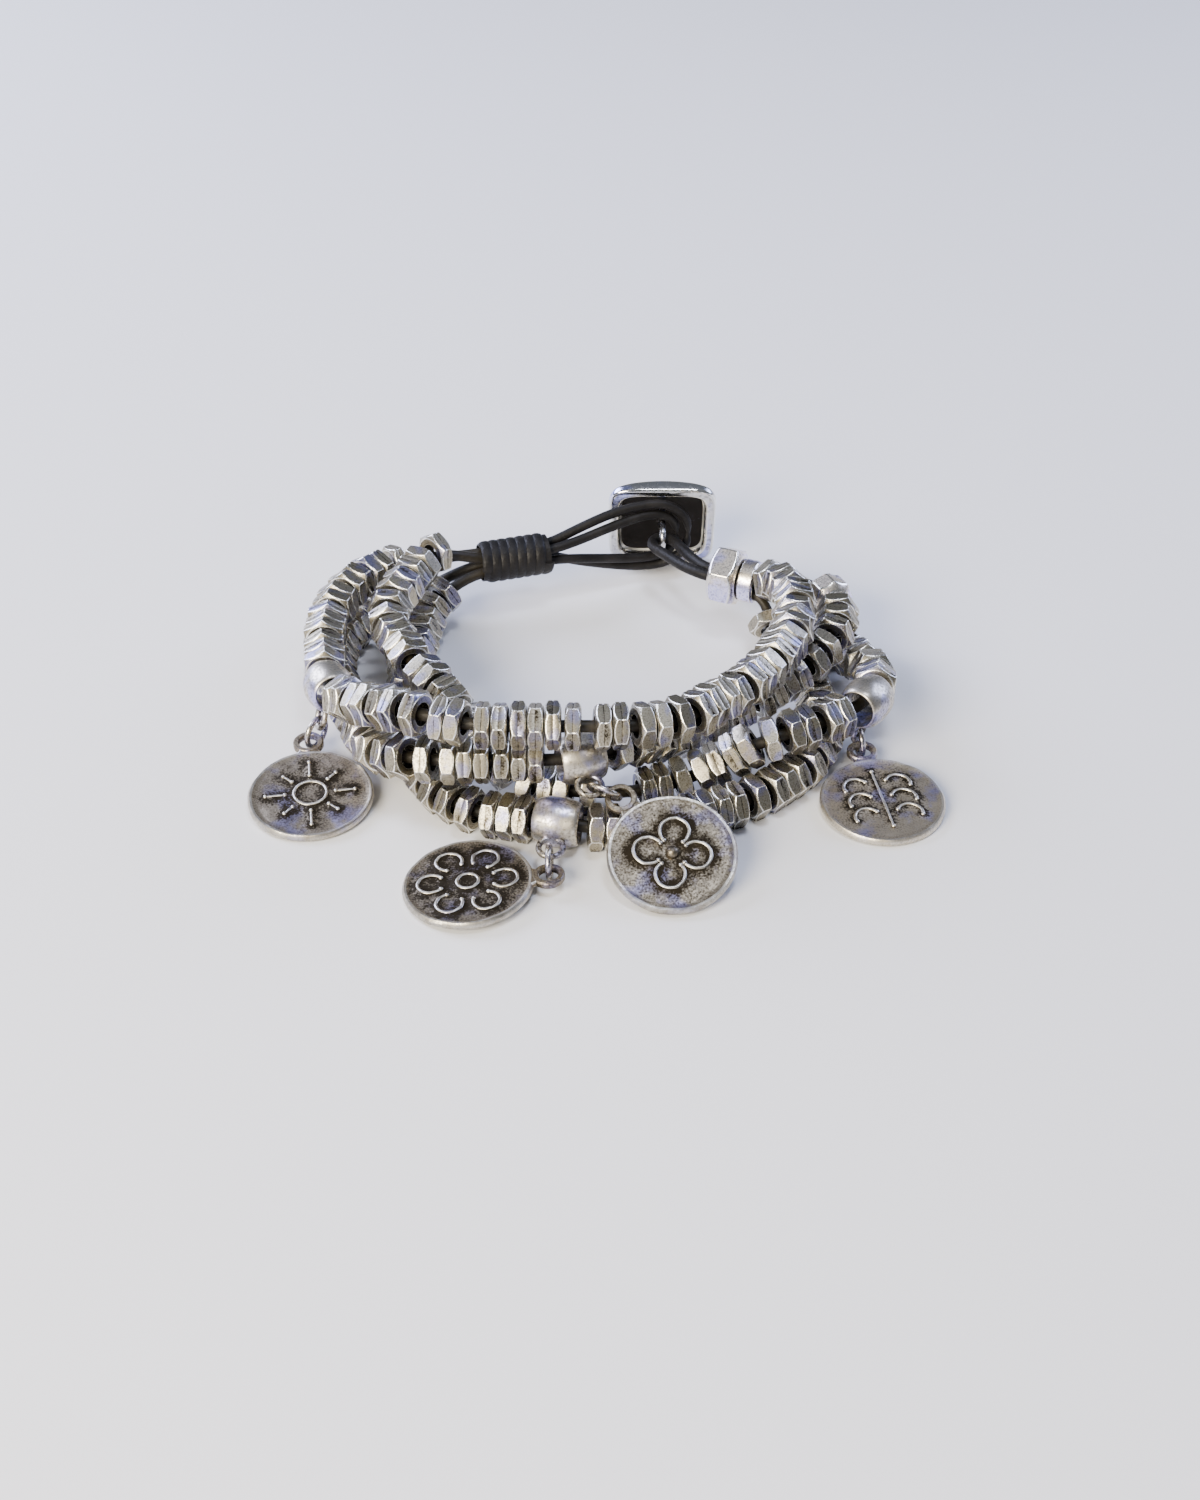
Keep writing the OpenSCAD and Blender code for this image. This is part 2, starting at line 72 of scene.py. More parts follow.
def rounded_cord(node, name, swell):
    """A copy of a cord's plain tube, its eight flat sides pushed out by swell and rounded."""
    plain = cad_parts[node]
    cord = bpy.data.objects.new(name, plain.data.copy())
    bpy.context.collection.objects.link(cord)
    take_only(cord)
    bpy.ops.object.mode_set(mode="EDIT")
    bpy.ops.mesh.select_all(action="SELECT")
    bpy.ops.mesh.remove_doubles(threshold=merge_gap)
    widest_bend = math.radians(60)
    bpy.ops.mesh.tris_convert_to_quads(face_threshold=widest_bend, shape_threshold=widest_bend)
    bpy.ops.transform.shrink_fatten(value=swell)
    bpy.ops.object.mode_set(mode="OBJECT")
    smooth = cord.modifiers.new("smooth", "SUBSURF")
    smooth.levels = smooth.render_levels = 2
    apply_all(cord)
    bpy.ops.object.shade_smooth()
    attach(cord, "root")
    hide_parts(node)
    return cord


def add_sockets(group, way, kinds):
    """Gives a shader group its inputs or outputs, each a Color or a Float."""
    for name, kind in kinds.items():
        group.interface.new_socket(name, in_out=way, socket_type="NodeSocket" + kind)


def leather_group():
    """Leather: fine creases and pores over slow changes of tone."""
    group = bpy.data.node_groups.new("leather grain", "ShaderNodeTree")
    add_sockets(group, "INPUT", {"Colour": "Color", "Rubbed Colour": "Color", "Grain": "Float"})
    add_sockets(group, "OUTPUT", {"Colour": "Color", "Roughness": "Float", "Height": "Float"})
    n, link = group.nodes, group.links.new
    given, out = n.new("NodeGroupInput"), n.new("NodeGroupOutput")
    place = n.new("ShaderNodeTexCoord")
    pores = n.new("ShaderNodeTexVoronoi")
    link(place.outputs["Object"], pores.inputs["Vector"])
    link(given.outputs["Grain"], pores.inputs["Scale"])
    slow = n.new("ShaderNodeTexNoise")
    slow.inputs["Scale"].default_value = 260
    slow.inputs["Detail"].default_value = 5
    link(place.outputs["Object"], slow.inputs["Vector"])
    rubbed = n.new("ShaderNodeMapRange")
    rubbed.inputs["From Min"].default_value = 0.45
    rubbed.inputs["From Max"].default_value = 0.75
    link(slow.outputs["Fac"], rubbed.inputs["Value"])
    tone = n.new("ShaderNodeMix")
    tone.data_type = "RGBA"
    link(rubbed.outputs["Result"], tone.inputs[0])
    link(given.outputs["Colour"], tone.inputs[6])
    link(given.outputs["Rubbed Colour"], tone.inputs[7])
    link(tone.outputs[2], out.inputs["Colour"])
    rough = n.new("ShaderNodeMapRange")
    rough.inputs["To Min"].default_value = 0.62
    rough.inputs["To Max"].default_value = 0.42
    link(slow.outputs["Fac"], rough.inputs["Value"])
    link(rough.outputs["Result"], out.inputs["Roughness"])
    link(pores.outputs["Distance"], out.inputs["Height"])
    return group


def leather(name, colour, rubbed, grain, depth, gloss):
    """A leather: grain is how fine its pores are, and depth how deep."""
    material = bpy.data.materials.new(name)
    material.use_nodes = True
    n, link = material.node_tree.nodes, material.node_tree.links.new
    shader = n["Principled BSDF"]
    hide = n.new("ShaderNodeGroup")
    hide.node_tree = hide_grain
    hide.inputs["Colour"].default_value = (*colour, 1)
    hide.inputs["Rubbed Colour"].default_value = (*rubbed, 1)
    hide.inputs["Grain"].default_value = grain
    shader.inputs["Specular IOR Level"].default_value = gloss
    bump = n.new("ShaderNodeBump")
    bump.inputs["Strength"].default_value = 0.5
    bump.inputs["Distance"].default_value = depth
    link(hide.outputs["Colour"], shader.inputs["Base Color"])
    link(hide.outputs["Roughness"], shader.inputs["Roughness"])
    link(hide.outputs["Height"], bump.inputs["Height"])
    link(bump.outputs["Normal"], shader.inputs["Normal"])
    return material


hide_grain = leather_group()
strand_leather = leather(
    "strand leather",
    colour=(0.012, 0.0095, 0.0055),
    rubbed=(0.028, 0.022, 0.012),
    grain=3200,
    depth=0.06 * mm,
    gloss=0.3,
)
for k in range(1, 5):
    cord = rounded_cord(f"strand_{k}_cord", f"strand_cord_{k}", cord_swell)
    wear(cord, strand_leather)


# The nut beads: hexagonal nuts, cast in silver-plated metal and blackened, then brushed so that
# the flats are bright again and the edges shine. Each is turned, milled to six flats and drilled,
# and more than half have a fine line round the middle, as if two thin plates lay together.

nut_flats = 5.5 * mm
nut_thickness = 2.1 * mm
nut_bore = 3.2 * mm
nut_face = 5.1 * mm
nut_rounding = 0.1 * mm
spare_stock = 0.1 * mm
nut_stock = nut_flats / 2 / math.cos(math.radians(30)) + spare_stock
nut_chamfer = (nut_stock - nut_face / 2) * math.tan(math.radians(30))
line_width = 0.2 * mm
line_shrink = 0.95
lined_share = 0.6
line_dark = 0.95
bore_dark = 0.8


def pick(piece, kind, wanted):
    """Selects the faces or points of a piece that pass the test, in edit mode."""
    bpy.ops.object.mode_set(mode="EDIT")
    bpy.ops.mesh.select_mode(type=kind)
    bpy.ops.mesh.select_all(action="DESELECT")
    bpy.ops.object.mode_set(mode="OBJECT")
    if kind == "FACE":
        for face in piece.data.polygons:
            face.select = wanted(face.center, face.normal)
    else:
        for point in piece.data.vertices:
            point.select = wanted(point.co)
    bpy.ops.object.mode_set(mode="EDIT")


def mark(piece, name, kind, values):
    """Writes a number on each face or point of a piece, which its metal reads by name."""
    layer = piece.data.attributes.new(name, "FLOAT", kind)
    layer.data.foreach_set("value", values)


def bevelled(piece, width, segments, angle):
    """Rounds the edges sharper than angle and marks the rounded faces as rubbed."""
    apply_all(piece)
    round_off = piece.modifiers.new("round off", "BEVEL")
    round_off.width = width
    round_off.segments = segments
    round_off.limit_method = "ANGLE"
    round_off.angle_limit = math.radians(angle)
    round_off.material = 1
    piece.data.materials.clear()
    piece.data.materials.append(None)
    piece.data.materials.append(None)
    apply_all(piece)
    mark(piece, "rubbed", "FACE", [float(f.material_index == 1) for f in piece.data.polygons])
    piece.data.polygons.foreach_set("material_index", [0] * len(piece.data.polygons))
    piece.data.materials.clear()
    bpy.ops.object.shade_smooth_by_angle(angle=math.radians(35))


def true_flats(piece):
    """Turns the shading of each flat straight, so that only its rounded edges bend the light."""
    apply_all(piece)
    level = piece.modifiers.new("true flats", "WEIGHTED_NORMAL")
    level.keep_sharp = True
    apply_all(piece)


def milled_bead(name, sides, across, length, bore, face, drop, rounding, steps=48, lined=False):
    """A bead at the origin, its axis along Z: turned, its ends chamfered, drilled, and milled to
    flat sides, the first of them towards X. None are milled where sides is 0. face is the radius
    of its flat ends, drop the fall of the chamfer, and steps the corners of the turned stock."""
    half = length / 2
    stock = across / 2
    if sides:
        stock = across / 2 / math.cos(math.pi / sides) + spare_stock
    bpy.ops.mesh.primitive_cylinder_add(vertices=steps, radius=stock, depth=length)
    bead = bpy.context.object
    bead.name = name
    pick(bead, "FACE", lambda middle, normal: abs(normal.z) > 0.9)
    bpy.ops.mesh.inset(thickness=stock - face)
    for side in (1, -1):
        pick(bead, "VERT", lambda p: side * p.z > half * 0.9 and p.xy.length > (stock + face) / 2)
        bpy.ops.transform.translate(value=(0, 0, -side * drop))
    near_end = half * 0.99
    pick(bead, "FACE", lambda middle, normal: abs(middle.z) > near_end and middle.xy.length < bore / 5)
    bpy.ops.mesh.inset(thickness=face - bore / 2)
    bpy.ops.mesh.bridge_edge_loops()
    for k in range(sides):
        turn = math.tau * k / sides
        way = Vector((math.cos(turn), math.sin(turn), 0))
        bpy.ops.mesh.select_all(action="SELECT")
        bpy.ops.mesh.bisect(plane_co=way * across / 2, plane_no=way, use_fill=True, clear_outer=True)
    bpy.ops.mesh.select_all(action="SELECT")
    bpy.ops.mesh.remove_doubles(threshold=2 * merge_gap)
    bpy.ops.mesh.normals_make_consistent(inside=False)
    bpy.ops.object.mode_set(mode="OBJECT")
    bevelled(bead, rounding, 2, 25)
    if lined:
        bpy.ops.object.mode_set(mode="EDIT")
        for height in (line_width / 2, 0, -line_width / 2):
            bpy.ops.mesh.select_all(action="SELECT")
            bpy.ops.mesh.bisect(plane_co=(0, 0, height), plane_no=(0, 0, 1))
        pick(bead, "VERT", lambda p: abs(p.z) < line_width / 4 and p.xy.length > face)
        bpy.ops.transform.resize(value=(line_shrink, line_shrink, 1), center_override=(0, 0, 0))
        bpy.ops.object.mode_set(mode="OBJECT")
    values = []
    for point in bead.data.vertices:
        in_line = lined and abs(point.co.z) < line_width / 4 and point.co.xy.length > face * 0.9
        in_bore = point.co.xy.length < bore / 2 * 1.05
        values.append(line_dark if in_line else bore_dark if in_bore else 0)
    mark(bead, "sunk", "POINT", values)
    true_flats(bead)
    return bead


def islands(mesh):
    """The loose solids of a mesh, each as a list of its faces."""
    seen = set()
    for first in mesh.faces:
        if first in seen:
            continue
        seen.add(first)
        ask = [first]
        island = []
        while ask:
            face = ask.pop()
            island.append(face)
            for edge in face.edges:
                for other in edge.link_faces:
                    if other not in seen:
                        seen.add(other)
                        ask.append(other)
        yield island


def nut_places(node):
    """Reads from the frame where each nut of a strand lies: its middle, its axis and one flat."""
    mesh = bmesh.new()
    mesh.from_mesh(node.data)
    bmesh.ops.remove_doubles(mesh, verts=mesh.verts, dist=merge_gap)
    places = []
    for island in islands(mesh):
        area = sum(f.calc_area() for f in island)
        middle = sum((f.calc_center_median() * f.calc_area() for f in island), Vector()) / area
        ways = {}
        for f in island:
            key = tuple(round(c, 2) for c in f.normal)
            ways[key] = ways.get(key, Vector()) + f.normal * f.calc_area()
        ranked = sorted(ways.values(), key=lambda v: -v.length)
        axis = ranked[0].normalized()
        flat = next(v for v in ranked if abs(v.normalized().dot(axis)) < 0.05).normalized()
        flat = (flat - axis * flat.dot(axis)).normalized()
        places.append((middle, axis, flat))
    mesh.free()
    return places


def seat(middle, axis, way):
    """The matrix that puts a piece's Z along axis and its X along way."""
    side = axis.cross(way)
    turned = Matrix((way, side, axis)).transposed().to_4x4()
    return Matrix.Translation(middle) @ turned


def shade(piece, tone):
    """Makes a piece's metal lighter or darker than its neighbours', a tenth for each 1 of tone."""
    mark(piece, "tone", "POINT", [tone] * len(piece.data.vertices))


def strung(places, patterns, name, seed):
    """A copy of one of two patterns at every place, each its own tone, joined into one strand."""
    dice = random.Random(seed)
    copies = []
    for middle, axis, way in places:
        pattern = patterns[0] if dice.random() < lined_share else patterns[1]
        copy = bpy.data.objects.new(name, pattern.data.copy())
        bpy.context.collection.objects.link(copy)
        if dice.random() < 0.5:
            axis = -axis
        copy.data.transform(seat(middle, axis, way))
        shade(copy, dice.uniform(-1, 1))
        copies.append(copy)
    take_only(*copies)
    bpy.ops.object.join()
    strand = bpy.context.object
    strand.name = name
    return strand


def silver_group():
    """Antiqued silver: bright metal with lavender patches of painted sheen, a dark film in the recesses
    that is partly real patina and partly painted shade between parts, and bare metal on rubbed edges.
    Scale is how fine its clouds are, and Tone lightens it."""
    group = bpy.data.node_groups.new("antiqued silver", "ShaderNodeTree")
    add_sockets(group, "INPUT", {
        "Bright": "Color", "Dark": "Color", "Patina And Shade": "Float", "Rubbed": "Float",
        "Tone": "Float", "Film": "Float", "Roughness": "Float", "Scale": "Float",
    })
    add_sockets(group, "OUTPUT", {"Colour": "Color", "Roughness": "Float", "Height": "Float"})
    n, link = group.nodes, group.links.new
    given, out = n.new("NodeGroupInput"), n.new("NodeGroupOutput")
    place = n.new("ShaderNodeTexCoord")
    lavender_sheen = (0.78, 0.84, 1.6, 1)
    bare_metal = (0.95, 0.93, 0.85, 1)

    def feed(sockets, values):
        for socket, value in zip(sockets, values):
            if hasattr(value, "links"):
                link(value, socket)
            else:
                socket.default_value = value

    def maths(operation, a, b, clamp=False):
        node = n.new("ShaderNodeMath")
        node.operation = operation
        node.use_clamp = clamp
        feed(node.inputs, (a, b))
        return node.outputs[0]

    def mixed(fac, a, b, blend="MIX"):
        node = n.new("ShaderNodeMix")
        node.data_type = "RGBA"
        node.blend_type = blend
        feed((node.inputs[0], node.inputs[6], node.inputs[7]), (fac, a, b))
        return node.outputs[2]

    def clouds(fineness, detail, roughness=0.5):
        node = n.new("ShaderNodeTexNoise")
        node.inputs["Detail"].default_value = detail
        node.inputs["Roughness"].default_value = roughness
        link(place.outputs["Object"], node.inputs["Vector"])
        link(maths("MULTIPLY", given.outputs["Scale"], fineness), node.inputs["Scale"])
        return node.outputs["Fac"]

    def swing(fac, middle, strength, clamp=False):
        return maths("MULTIPLY", maths("SUBTRACT", fac, middle), strength, clamp)

    coarse = clouds(fineness=1, detail=6, roughness=0.65)
    grain = clouds(fineness=6.5, detail=3)
    drift = clouds(fineness=0.45, detail=4)

    mottle = swing(coarse, middle=0.5, strength=2.4)
    speckle = swing(grain, middle=0.5, strength=2.4)
    film = maths("ADD", maths("MULTIPLY", mottle, 0.5), given.outputs["Film"])
    # Darkening fed in from outside: real black in hollows, and painted shade where other parts come
    # near.
    patina_and_shade = maths("MULTIPLY", given.outputs["Patina And Shade"], maths("ADD", 1, mottle))
    dark = maths("ADD", maths("ADD", film, speckle), patina_and_shade, clamp=True)

    lighter = n.new("ShaderNodeCombineColor")
    lift = maths("ADD", 1, maths("MULTIPLY", given.outputs["Tone"], 0.1))
    for socket in lighter.inputs[:3]:
        link(lift, socket)
    toned = mixed(1, given.outputs["Bright"], lighter.outputs[0], "MULTIPLY")
    # Slow lavender patches: a painted sheen of the cool lamps' blue reflection, laid into the colour.
    sheen_patch = swing(drift, middle=0.51, strength=8, clamp=True)
    sheen_patched = mixed(sheen_patch, toned, lavender_sheen, "MULTIPLY")
    filmed_and_shaded = mixed(dark, sheen_patched, given.outputs["Dark"])
    broken = maths("MULTIPLY", given.outputs["Rubbed"], maths("ADD", 0.75, mottle), clamp=True)
    link(mixed(broken, filmed_and_shaded, bare_metal), out.inputs["Colour"])

    rough = maths("ADD", given.outputs["Roughness"], maths("MULTIPLY", dark, 0.22))
    rough = maths("SUBTRACT", rough, maths("MULTIPLY", broken, 0.12))
    rough = maths("ADD", rough, swing(grain, middle=0.5, strength=0.16))
    link(rough, out.inputs["Roughness"])
    link(maths("ADD", coarse, maths("MULTIPLY", grain, 0.35)), out.inputs["Height"])
    return group


def silver(name, bright, dark, film, roughness, scale, bump_depth, crevice):
    """A silver material. film is how much black it keeps all over, scale how fine its clouds are,
    and crevice how far round a point other metal counts as shelter: there the colour is darkened,
    partly by the black that gathers in hollows and partly by painted shade between parts."""
    material = bpy.data.materials.new(name)
    material.use_nodes = True
    n, link = material.node_tree.nodes, material.node_tree.links.new
    shader = n["Principled BSDF"]
    shader.inputs["Metallic"].default_value = 1
    metal = n.new("ShaderNodeGroup")
    metal.node_tree = silver_finish
    metal.inputs["Bright"].default_value = (*bright, 1)
    metal.inputs["Dark"].default_value = (*dark, 1)
    metal.inputs["Film"].default_value = film
    metal.inputs["Roughness"].default_value = roughness
    metal.inputs["Scale"].default_value = scale
    # Ambient occlusion darkens the colour near other parts and the floor: painted shade, together with
    # the real black in a piece's own hollows.
    shelter = n.new("ShaderNodeAmbientOcclusion")
    shelter.samples = 6
    shelter.inputs["Distance"].default_value = crevice
    ao_shade_and_patina = n.new("ShaderNodeMapRange")
    ao_shade_and_patina.inputs["From Min"].default_value = 0.75
    ao_shade_and_patina.inputs["From Max"].default_value = 0.2
    link(shelter.outputs["AO"], ao_shade_and_patina.inputs["Value"])
    sunk = n.new("ShaderNodeAttribute")
    sunk.attribute_name = "sunk"
    patina_and_shade = n.new("ShaderNodeMath")
    patina_and_shade.operation = "MAXIMUM"
    link(ao_shade_and_patina.outputs["Result"], patina_and_shade.inputs[0])
    link(sunk.outputs["Fac"], patina_and_shade.inputs[1])
    link(patina_and_shade.outputs[0], metal.inputs["Patina And Shade"])
    rubbed = n.new("ShaderNodeAttribute")
    rubbed.attribute_name = "rubbed"
    link(rubbed.outputs["Fac"], metal.inputs["Rubbed"])
    tone = n.new("ShaderNodeAttribute")
    tone.attribute_name = "tone"
    link(tone.outputs["Fac"], metal.inputs["Tone"])
    bump = n.new("ShaderNodeBump")
    bump.inputs["Strength"].default_value = 0.6
    bump.inputs["Distance"].default_value = bump_depth
    link(metal.outputs["Colour"], shader.inputs["Base Color"])
    link(metal.outputs["Roughness"], shader.inputs["Roughness"])
    link(metal.outputs["Height"], bump.inputs["Height"])
    link(bump.outputs["Normal"], shader.inputs["Normal"])
    return material


silver_finish = silver_group()
nut_silver = silver(
    "nut silver",
    bright=(0.385, 0.35, 0.265),
    dark=(0.028, 0.023, 0.015),
    film=0.14,
    roughness=0.32,
    scale=700,
    bump_depth=0.05 * mm,
    crevice=1.2 * mm,
)
nut_sizes = dict(
    sides=6,
    across=nut_flats,
    length=nut_thickness,
    bore=nut_bore,
    face=nut_face / 2,
    drop=nut_chamfer,
    rounding=nut_rounding,
    steps=24,
)
lined_nut = milled_bead("lined_nut", **nut_sizes, lined=True)
plain_nut = milled_bead("plain_nut", **nut_sizes)
for k in range(1, 5):
    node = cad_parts[f"strand_{k}_nuts"]
    strand = strung(nut_places(node), (lined_nut, plain_nut), f"nuts_{k}", seed=k)
    wear(strand, nut_silver)
    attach(strand, "root")
    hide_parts(node.name)
for pattern in (lined_nut, plain_nut):
    bpy.data.objects.remove(pattern)


# The barrel beads: smooth hollow silver beads with turned-in lips and a few small dents, each with
# a wire eye soldered on one side for its charm's jump ring.

barrel_width = 6.9 * mm
barrel_length = 6.1 * mm
barrel_bore = 4.4 * mm
barrel_curve = 0.28
lip_turn = 0.25 * mm
lip_depth = 0.3 * mm
eye_reach = 4.55 * mm
eye_radius = 1.6 * mm
eye_wire = 0.8 * mm
eye_dark = 0.4


def flat_ends(node):
    """Reads from the frame a bead's middle, its axis and the way to its eye."""
    mesh = node.data
    ways = {}
    for f in mesh.polygons:
        key = tuple(round(c, 2) for c in f.normal)
        way, place, area = ways.get(key, (Vector(), Vector(), 0))
        ways[key] = (way + f.normal * f.area, place + f.center * f.area, area + f.area)
    ranked = sorted(ways.values(), key=lambda w: -w[0].length)
    axis = ranked[0][0].normalized()
    far = next(w for w in ranked if w[0].normalized().dot(axis) < -0.99)
    middle = (ranked[0][1] / ranked[0][2] + far[1] / far[2]) / 2
    weighed = sum((f.center * f.area for f in mesh.polygons), Vector())
    whole = weighed / sum(f.area for f in mesh.polygons)
    way = whole - middle
    way = (way - axis * way.dot(axis)).normalized()
    return middle, axis, way


def spun(name, profile, steps):
    """A closed ring of a profile, (radius, height) points, spun round Z."""
    mesh = bpy.data.meshes.new(name)
    points = [(r, 0, z) for r, z in profile]
    edges = [(i, (i + 1) % len(profile)) for i in range(len(profile))]
    mesh.from_pydata(points, edges, [])
    piece = bpy.data.objects.new(name, mesh)
    bpy.context.collection.objects.link(piece)
    take_only(piece)
    bpy.ops.object.mode_set(mode="EDIT")
    bpy.ops.mesh.select_all(action="SELECT")
    bpy.ops.mesh.spin(steps=steps, angle=math.tau, center=(0, 0, 0), axis=(0, 0, 1))
    bpy.ops.mesh.select_all(action="SELECT")
    bpy.ops.mesh.remove_doubles(threshold=merge_gap)
    bpy.ops.mesh.normals_make_consistent(inside=False)
    bpy.ops.object.mode_set(mode="OBJECT")
    return piece


def dented(piece, depth, size, seed):
    """Presses small uneven dents into a surface, about size apart."""
    for point in piece.data.vertices:
        at = point.co / size + Vector((seed, 0, 0))
        point.co += point.normal * depth * (noise.noise(at) - 0.3)


def barrel_bead(name, seed):
    """A barrel bead at the origin, its bore along Z and its eye towards X."""
    half = barrel_length / 2
    bore = barrel_bore / 2
    profile = []
    for i in range(13):
        t = -1 + i / 6
        bulge = math.sqrt(1 - barrel_curve * t * t)
        profile.append((barrel_width / 2 * bulge, half * 0.9 * t))
    lip = barrel_width / 2 * math.sqrt(1 - barrel_curve)
    profile += [(lip - lip_turn, half), (bore + lip_turn, half), (bore, half - lip_depth)]
    profile += [(bore, lip_depth - half), (bore + lip_turn, -half), (lip - lip_turn, -half)]
    bead = spun(name, profile, 40)
    smooth = bead.modifiers.new("smooth", "SUBSURF")
    smooth.levels = smooth.render_levels = 1
    apply_all(bead)
    dented(bead, depth=0.14 * mm, size=2.5 * mm, seed=seed)
    bpy.ops.mesh.primitive_torus_add(
        major_radius=eye_radius,
        minor_radius=eye_wire / 2,
        major_segments=36,
        minor_segments=12,
        location=(eye_reach, 0, 0),
        rotation=(math.pi / 2, 0, 0),
    )
    eye = bpy.context.object
    take_only(eye, bead)
    bpy.ops.object.join()
    bpy.ops.object.shade_smooth_by_angle(angle=math.radians(50))
    off_bead = barrel_width / 2 + 0.15 * mm
    mark(bead, "sunk", "POINT", [eye_dark * (v.co.x > off_bead) for v in bead.data.vertices])
    return bead


bead_silver = silver(
    "bead silver",
    bright=(0.62, 0.575, 0.49),
    dark=(0.05, 0.042, 0.03),
    film=0.14,
    roughness=0.35,
    scale=420,
    bump_depth=0.04 * mm,
    crevice=1.6 * mm,
)
for k, barrel_tone in ((1, 0.5), (2, -0.5), (3, -1.5), (4, -0.5)):
    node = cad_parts[f"barrel_bead_{k}"]
    bead = barrel_bead(f"barrel_{k}", seed=3 * k)
    shade(bead, barrel_tone)
    bead.data.transform(seat(*flat_ends(node)))
    wear(bead, bead_silver)
    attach(bead, "root")
    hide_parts(node.name)


# The jump rings: round silver wire bent to a ring, one through each barrel bead's eye and its
# charm's ear. They keep the mesh of the CAD model, and only their metal is new.

wire_silver = silver(
    "wire silver",
    bright=(0.5, 0.46, 0.39),
    dark=(0.04, 0.034, 0.025),
    film=0.12,
    roughness=0.26,
    scale=500,
    bump_depth=0.02 * mm,
    crevice=1.4 * mm,
)
for k in range(1, 5):
    wear(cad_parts[f"jump_ring_{k}"], wire_silver)


# The charms: thick hand-cut discs with a drilled ear. Wire is soldered on in a motif, and the whole
# is blackened and polished, so that the ground stays dark and mottled round the bright wire.

charm_radius = 8.4 * mm
charm_thick = 0.9 * mm
charm_ground = charm_thick / 2 - 0.1 * mm
rim_middle = 0.955
rim_spread = 0.03
rim_rise = 0.16 * mm
rim_rubbed = 0.4
edge_fall = 0.2 * mm
solder_rise = 0.16 * mm
solder_reach = 0.55 * mm
ear_reach = 10.3 * mm
ear_hole = 2.6 * mm
ear_width = 0.8 * mm
ear_thick = 1 * mm
neck_thick = 0.84 * mm
neck_half_length = 0.7 * mm
neck_narrow = 1.1 * mm
neck_wide = 1.9 * mm
relief_wire = 0.52 * mm
relief_height = charm_thick / 2 - 0.05 * mm
relief_rubbed = 0.5
relief_dark = 0.9
boss_radius = 0.9 * mm

# Each charm's middle, the way it faces and the way to its ear, in millimetres
charm_lies = {
    1: ((-38.3, -19, 1.4), (0, -0.11, 1), (-0.13, 0.99, 0.09)),
    2: ((9.7, -34.55, 3.95), (0, -0.4, 0.92), (-0.63, 0.71, 0.31)),
    3: ((38.3, -19.9, 1.05), (0, -0.065, 1), (-0.17, 0.98, 0.06)),
    4: ((-16.3, -37, 1.1), (-0.07, 0, 1), (1, 0.06, 0.07)),
}


def arc(x, y, radius, start, turn, base=0):
    """Points along part of a circle, its middle at (x, y) turned by base degrees, in millimetres."""
    count = max(8, int(abs(turn) * radius / 12))
    c, s = math.cos(math.radians(base)), math.sin(math.radians(base))
    points = []
    for i in range(count + 1):
        a = math.radians(start + turn * i / count)
        px, py = x + radius * math.cos(a), y + radius * math.sin(a)
        points.append((c * px - s * py, s * px + c * py))
    return points


def ray(inner, outer, base):
    """Three points straight outward, at base degrees, in millimetres."""
    c, s = math.cos(math.radians(base)), math.sin(math.radians(base))
    return [(c * r, s * r) for r in (inner, (inner + outer) / 2, outer)]


def sun():
    rays = [ray(3.4, 6 if k % 2 == 0 else 5, 45 * k) for k in range(8)]
    return [arc(0, 0, 2.2, 0, 360)] + rays


def quatrefoil():
    return [arc(3.1, 0, 1.9, -140, 280, 90 * k + 45) for k in range(4)]


def sprig():
    stem = ray(-5.6, 5.4, 180)
    leaves = []
    for k in (-1, 0, 1):
        leaves.append(arc(3 * k - 0.2, -2.9, 1.7, -110, 170))
        leaves.append(arc(3 * k - 0.2, 2.9, 1.7, -60, 170))
    return [stem] + leaves


def rosette():
    petals = [arc(4.7, 0, 1.7, -140, 280, 60 * k) for k in range(6)]
    return petals + [arc(0, 0, 1.4, 0, 360)]


